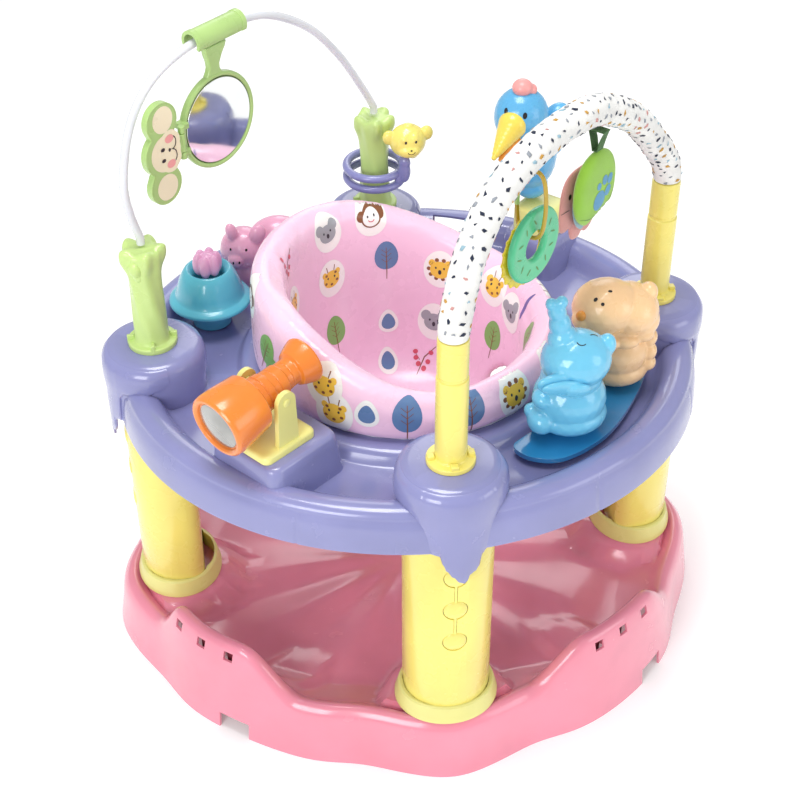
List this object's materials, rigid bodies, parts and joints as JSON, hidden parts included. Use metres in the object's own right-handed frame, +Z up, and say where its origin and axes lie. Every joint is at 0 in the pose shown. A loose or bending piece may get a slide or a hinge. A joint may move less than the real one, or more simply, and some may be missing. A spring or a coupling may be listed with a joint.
{
  "type": "activity jumper",
  "caption": "Baby activity jumper: turning padded seat in a round toy tray, carried by legs on a wavy dish, with a toy arch, a mirror arch and tray toys.",
  "frame": {"origin": "on the floor, under the middle of the base dish", "axes": "+Z up; the four legs stand on the X and Y axes, the printed arch's lower post is at -Y"},
  "size_m": [0.7676, 0.6676, 0.7814],
  "materials": {
    "white_plastic": "glossy moulding",
    "yellow_plastic": "glossy moulding",
    "sleeve_fabric": "printed woven cloth",
    "pink_plastic": "glossy moulding",
    "pale_yellow_plastic": "satin moulding",
    "sky_plastic": "glossy moulding",
    "spring_steel": "bright steel",
    "rose_fabric": "short plush",
    "rose_plastic": "glossy moulding",
    "teal_plastic": "glossy moulding",
    "grey_plastic": "matt moulding",
    "plush_fabric": "short plush",
    "strap_fabric": "woven webbing",
    "peach_plastic": "glossy moulding",
    "green_plastic": "satin moulding",
    "mirror_glass": "silvered safety mirror",
    "blue_plastic": "glossy moulding",
    "orange_plastic": "glossy moulding",
    "lens_glass": "grey glossy lens",
    "seat_fabric": "printed padded vinyl, glossy",
    "purple_plastic": "glossy moulding"
  },
  "bodies": {
    "root": {"base_dish": "pink_plastic", "leg_collar_front": "pale_yellow_plastic", "leg_collar_right": "pale_yellow_plastic", "leg_collar_back": "pale_yellow_plastic", "leg_collar_left": "pale_yellow_plastic", "leg_post_front": "yellow_plastic", "leg_post_right": "yellow_plastic", "leg_post_back": "yellow_plastic", "leg_post_left": "yellow_plastic"},
    "height_carriers": {"height_column_front": "grey_plastic", "height_column_right": "grey_plastic", "height_column_back": "grey_plastic", "height_column_left": "grey_plastic", "bounce_spring_front": "spring_steel", "bounce_spring_right": "spring_steel", "bounce_spring_back": "spring_steel", "bounce_spring_left": "spring_steel"},
    "tray": {"tray_shell": "purple_plastic", "retaining_ring": "grey_plastic", "trunk_stem_left": "green_plastic", "trunk_stem_back": "green_plastic", "wire_arch": "white_plastic", "arch_core": "white_plastic", "arch_sleeve": "sleeve_fabric", "arch_post_front": "yellow_plastic", "arch_post_right": "yellow_plastic", "scope_bracket": "pale_yellow_plastic", "scope_pin": "pale_yellow_plastic", "flower_pot": "teal_plastic", "pink_pig": "rose_plastic", "bird_box": "pale_yellow_plastic", "pond_plate": "blue_plastic"},
    "seat": {"seat_pad": "seat_fabric", "seat_ring": "white_plastic"},
    "button_front": {"height_buttons_front": "yellow_plastic"},
    "button_right": {"height_buttons_right": "yellow_plastic"},
    "button_back": {"height_buttons_back": "yellow_plastic"},
    "button_left": {"height_buttons_left": "yellow_plastic"},
    "foot_1": {"stabiliser_foot_1": "pink_plastic"},
    "foot_2": {"stabiliser_foot_2": "pink_plastic"},
    "foot_3": {"stabiliser_foot_3": "pink_plastic"},
    "foot_4": {"stabiliser_foot_4": "pink_plastic"},
    "telescope": {"scope_barrel": "orange_plastic", "scope_lens": "lens_glass"},
    "mirror": {"mirror_frame": "green_plastic", "mirror_glass": "mirror_glass"},
    "monkey_flap": {"monkey_flap": "green_plastic"},
    "turning_ring": {"stem_ring": "purple_plastic", "ring_monkey": "yellow_plastic"},
    "leaf_toy": {"leaf_strap": "strap_fabric", "leaf_plush": "plush_fabric", "fish_tag": "rose_fabric"},
    "link": {"link_loop": "yellow_plastic"},
    "teether": {"teether_ring": "green_plastic"},
    "beads": {"bead_ring": "yellow_plastic"},
    "bird": {"blue_bird": "sky_plastic"},
    "elephant": {"elephant": "sky_plastic"},
    "lion": {"lion": "peach_plastic"},
    "flower": {"flower_bud": "rose_plastic"}
  },
  "joints": [
    {"name": "height_adjust", "type": "slide", "parent": "root", "child": "height_carriers", "axis": [0, 0, 1], "range_m": [0, 0.045]},
    {"name": "tray_bounce", "type": "slide", "parent": "height_carriers", "child": "tray", "axis": [0, 0, 1], "range_m": [-0.025, 0], "stiffness_N_per_m": 4000, "springref_m": 0.025, "deforming": ["bounce_spring_front", "bounce_spring_right", "bounce_spring_back", "bounce_spring_left"]},
    {"name": "seat_spin", "type": "hinge", "parent": "tray", "child": "seat", "pos_m": [0, 0, 0.39], "axis": [0, 0, 1], "continuous": true},
    {"name": "button_press_front", "type": "slide", "parent": "root", "child": "button_front", "axis": [0, 1, 0], "range_m": [0, 0.0035], "stiffness_N_per_m": 600, "springref_m": -0.004},
    {"name": "button_press_right", "type": "slide", "parent": "root", "child": "button_right", "axis": [-1, 0, 0], "range_m": [0, 0.0035], "stiffness_N_per_m": 600, "springref_m": -0.004},
    {"name": "button_press_back", "type": "slide", "parent": "root", "child": "button_back", "axis": [0, -1, 0], "range_m": [0, 0.0035], "stiffness_N_per_m": 600, "springref_m": -0.004},
    {"name": "button_press_left", "type": "slide", "parent": "root", "child": "button_left", "axis": [1, 0, 0], "range_m": [0, 0.0035], "stiffness_N_per_m": 600, "springref_m": -0.004},
    {"name": "foot_fold_1", "type": "hinge", "parent": "root", "child": "foot_1", "pos_m": [-0.18617, -0.16471, 0.0395], "axis": [0.6626, -0.749, 0], "range_deg": [0, 65]},
    {"name": "foot_fold_2", "type": "hinge", "parent": "root", "child": "foot_2", "pos_m": [0.20519, -0.16031, 0.0395], "axis": [0.6157, 0.788, 0], "range_deg": [0, 65]},
    {"name": "foot_fold_3", "type": "hinge", "parent": "root", "child": "foot_3", "pos_m": [0.18617, 0.16471, 0.0395], "axis": [-0.6626, 0.749, 0], "range_deg": [0, 65]},
    {"name": "foot_fold_4", "type": "hinge", "parent": "root", "child": "foot_4", "pos_m": [-0.20519, 0.16031, 0.0395], "axis": [-0.6157, -0.788, 0], "range_deg": [0, 65]},
    {"name": "telescope_tilt", "type": "hinge", "parent": "tray", "child": "telescope", "pos_m": [-0.184, -0.184, 0.487], "axis": [-0.6157, 0.788, 0], "range_deg": [-12, 12]},
    {"name": "mirror_swing", "type": "hinge", "parent": "tray", "child": "mirror", "pos_m": [-0.19691, 0.09175, 0.76771], "axis": [0.7468, 0.6646, 0.0243], "range_deg": [-35, 35]},
    {"name": "flap_hinge", "type": "hinge", "parent": "mirror", "child": "monkey_flap", "pos_m": [-0.24326, 0.03778, 0.667], "axis": [0, 0, 1], "range_deg": [0, 135]},
    {"name": "ring_spin", "type": "hinge", "parent": "tray", "child": "turning_ring", "pos_m": [0, 0.267, 0.4845], "axis": [0, 0, 1], "continuous": true},
    {"name": "leaf_swing", "type": "hinge", "parent": "tray", "child": "leaf_toy", "pos_m": [0.18152, -0.10545, 0.7421], "axis": [0.6811, 0.6062, -0.4106], "range_deg": [-35, 35]},
    {"name": "link_swing", "type": "hinge", "parent": "tray", "child": "link", "pos_m": [0.09337, -0.1839, 0.72399], "axis": [0.747, 0.6648, 0], "range_deg": [-12, 12]},
    {"name": "teether_swing", "type": "hinge", "parent": "link", "child": "teether", "pos_m": [0.09337, -0.1839, 0.6468], "axis": [0.6648, -0.747, 0], "range_deg": [-25, 25]},
    {"name": "bead_swing", "type": "hinge", "parent": "link", "child": "beads", "pos_m": [0.09337, -0.1839, 0.6468], "axis": [0.6648, -0.747, 0], "range_deg": [-25, 25]},
    {"name": "bird_swivel", "type": "hinge", "parent": "tray", "child": "bird", "pos_m": [0.194, 0.198, 0.4609], "axis": [0, 0, 1], "range_deg": [-60, 60]},
    {"name": "elephant_turn", "type": "hinge", "parent": "tray", "child": "elephant", "pos_m": [0.151, -0.176, 0.389], "axis": [0, 0, 1], "range_deg": [-30, 30]},
    {"name": "lion_turn", "type": "hinge", "parent": "tray", "child": "lion", "pos_m": [0.224, -0.099, 0.389], "axis": [0, 0, 1], "range_deg": [-30, 30]},
    {"name": "flower_press", "type": "slide", "parent": "tray", "child": "flower", "axis": [0, 0, -1], "range_m": [0, 0.006], "stiffness_N_per_m": 150, "springref_m": -0.008}
  ]
}
